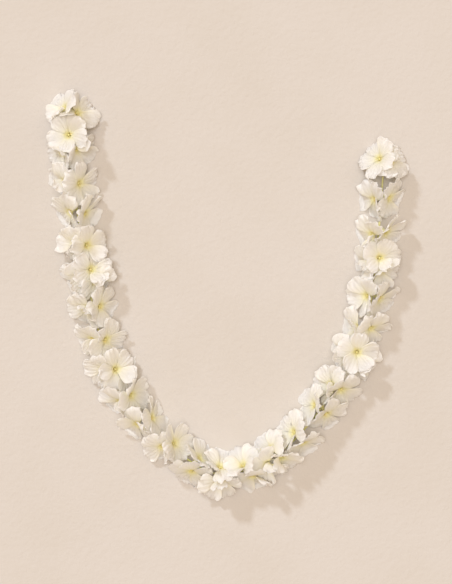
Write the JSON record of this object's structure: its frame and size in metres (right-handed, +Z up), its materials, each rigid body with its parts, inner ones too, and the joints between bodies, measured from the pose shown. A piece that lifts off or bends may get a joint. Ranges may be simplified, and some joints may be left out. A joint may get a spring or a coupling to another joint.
{
  "type": "flower garland",
  "caption": "Garland of white five-petalled blossoms set in pairs along a slim green stem, laid down in a long U.",
  "frame": {"origin": "centre of the bounding box's bottom, on the surface that the garland lies on", "axes": "+Z up off the surface, +Y from the bow of the U to its open end, +X to the right as seen from above"},
  "size_m": [0.4867, 0.5538, 0.0497],
  "materials": {
    "petal": "thin waxy warm-white petal, soft satin",
    "stem": "matte olive-green living stem"
  },
  "bodies": {
    "root": {"bloom_01": "petal", "bloom_02": "petal", "bloom_03": "petal", "bloom_04": "petal", "bloom_05": "petal", "bloom_06": "petal", "bloom_07": "petal", "bloom_08": "petal", "bloom_09": "petal", "bloom_10": "petal", "bloom_11": "petal", "bloom_12": "petal", "bloom_13": "petal", "bloom_14": "petal", "bloom_15": "petal", "bloom_16": "petal", "bloom_17": "petal", "bloom_18": "petal", "bloom_19": "petal", "bloom_20": "petal", "bloom_21": "petal", "bloom_22": "petal", "bloom_23": "petal", "bloom_24": "petal", "bloom_25": "petal", "bloom_26": "petal", "bloom_27": "petal", "bloom_28": "petal", "bloom_29": "petal", "bloom_30": "petal", "bloom_31": "petal", "bloom_32": "petal", "bloom_33": "petal", "bloom_34": "petal", "bloom_35": "petal", "bloom_36": "petal", "bloom_37": "petal", "bloom_38": "petal", "bloom_39": "petal", "bloom_40": "petal", "bloom_41": "petal", "bloom_42": "petal", "bloom_43": "petal", "bloom_44": "petal", "bloom_45": "petal", "bloom_46": "petal", "bloom_47": "petal", "bloom_48": "petal", "bloom_49": "petal", "bloom_50": "petal", "bloom_51": "petal", "bloom_52": "petal", "bloom_53": "petal", "bloom_54": "petal", "bloom_55": "petal", "bloom_56": "petal", "bloom_57": "petal", "bloom_58": "petal", "stem": "stem"}
  },
  "joints": []
}
